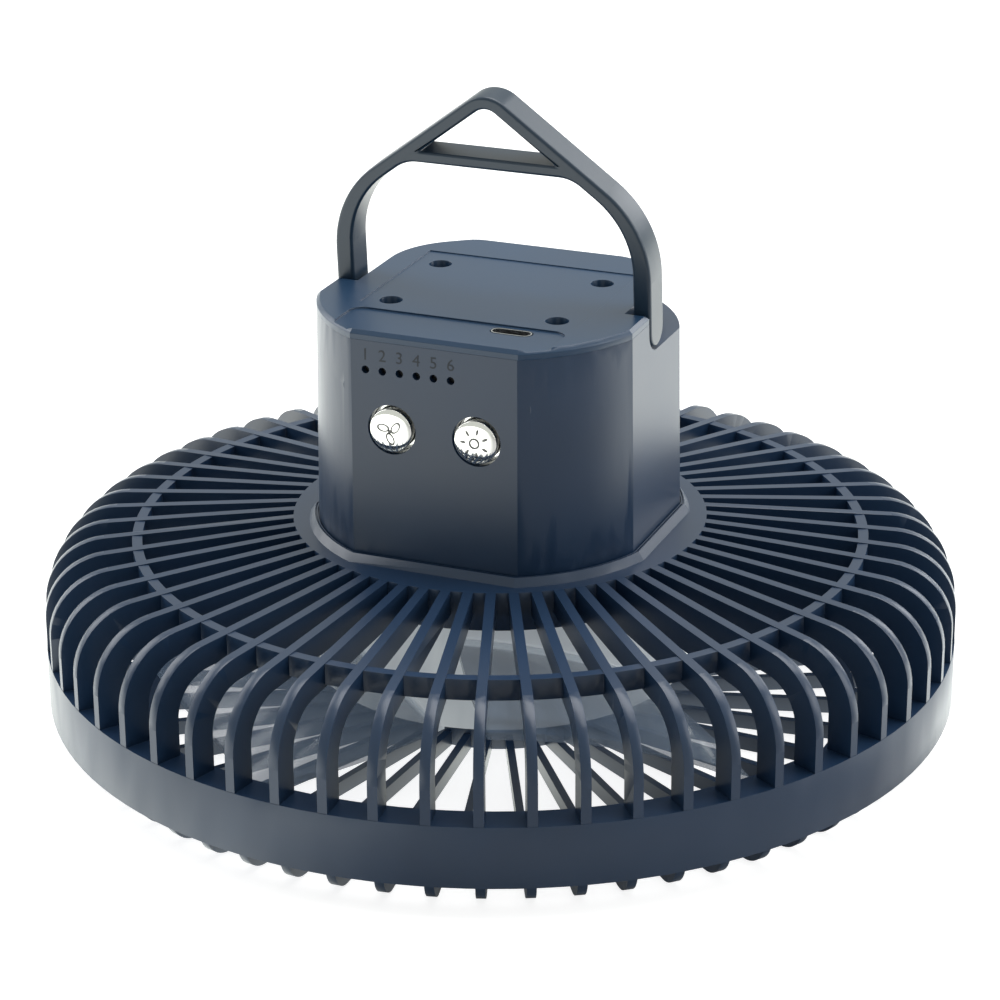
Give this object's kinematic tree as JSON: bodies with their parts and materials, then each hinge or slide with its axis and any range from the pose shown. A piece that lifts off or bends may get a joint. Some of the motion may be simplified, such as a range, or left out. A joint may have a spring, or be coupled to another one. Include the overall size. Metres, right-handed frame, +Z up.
{
  "type": "portable camping fan",
  "caption": "Flat round guarded fan with a ring lamp face, a box housing with push buttons and charging port on top, and a folding hanging handle.",
  "frame": {"origin": "on the fan's axis, at the plane the front grille rests on", "axes": "+Z up along the fan's axis from the front grille towards the handle, -Y out of the face with the buttons, +X to the right seen from the buttons"},
  "size_m": [0.2, 0.2, 0.1406],
  "materials": {
    "body_plastic": "satin",
    "cover_plastic": "satin",
    "handle_plastic": "satin",
    "button_chrome": "polished",
    "lens_clear": "clear",
    "port_metal": "satin",
    "black_plastic": "satin",
    "white_plastic": "gloss",
    "impeller_tint": "translucent gloss",
    "screw_steel": "zinc plated",
    "board_green": "solder mask",
    "led_body": "clear",
    "cell_wrap": "shrink wrap over a metal can",
    "bracket_plastic": "satin",
    "motor_steel": "drawn steel",
    "winding": "enamelled copper",
    "magnet": "matt",
    "bearing_bronze": "sintered",
    "diffuser_white": "frosted"
  },
  "bodies": {
    "base": {"rear_grille": "body_plastic", "front_grille": "body_plastic", "housing": "body_plastic", "top_cover": "cover_plastic", "cover_screws": "screw_steel", "grille_screws": "screw_steel", "fan_switch": "black_plastic", "light_switch": "black_plastic", "circuit_board": "board_green", "board_screws": "screw_steel", "indicator_lens": "lens_clear", "indicator_leds": "led_body", "usb_port": "port_metal", "usb_tongue": "black_plastic", "battery_cells": "cell_wrap", "battery_brackets": "bracket_plastic", "motor_case": "motor_steel", "motor_back_plate": "motor_steel", "motor_bearings": "bearing_bronze", "motor_screws": "screw_steel", "stator": "winding", "lamp_board": "white_plastic", "lamp_leds": "led_body", "lamp_screws": "screw_steel", "lamp_diffuser": "diffuser_white"},
    "handle": {"handle": "handle_plastic", "handle_washers": "screw_steel", "handle_screws": "screw_steel"},
    "fan": {"impeller": "impeller_tint", "impeller_nut": "screw_steel", "motor_shaft": "motor_steel", "rotor": "magnet"},
    "fan_button": {"fan_button": "button_chrome", "fan_plunger": "black_plastic"},
    "light_button": {"light_button": "button_chrome", "light_plunger": "black_plastic"}
  },
  "joints": [
    {"name": "handle_fold", "type": "hinge", "parent": "base", "child": "handle", "pos_m": [0, 0, 0.092], "axis": [-1, 0, 0], "range_deg": [0, 94]},
    {"name": "impeller_spin", "type": "hinge", "parent": "base", "child": "fan", "pos_m": [0, 0, 0.02], "axis": [0, 0, 1], "continuous": true},
    {"name": "fan_button_press", "type": "slide", "parent": "base", "child": "fan_button", "axis": [0, 1, 0], "range_m": [0, 0.0005], "stiffness_N_per_m": 1500, "springref_m": -0.0005},
    {"name": "light_button_press", "type": "slide", "parent": "base", "child": "light_button", "axis": [0, 1, 0], "range_m": [0, 0.0005], "stiffness_N_per_m": 1500, "springref_m": -0.0005}
  ]
}
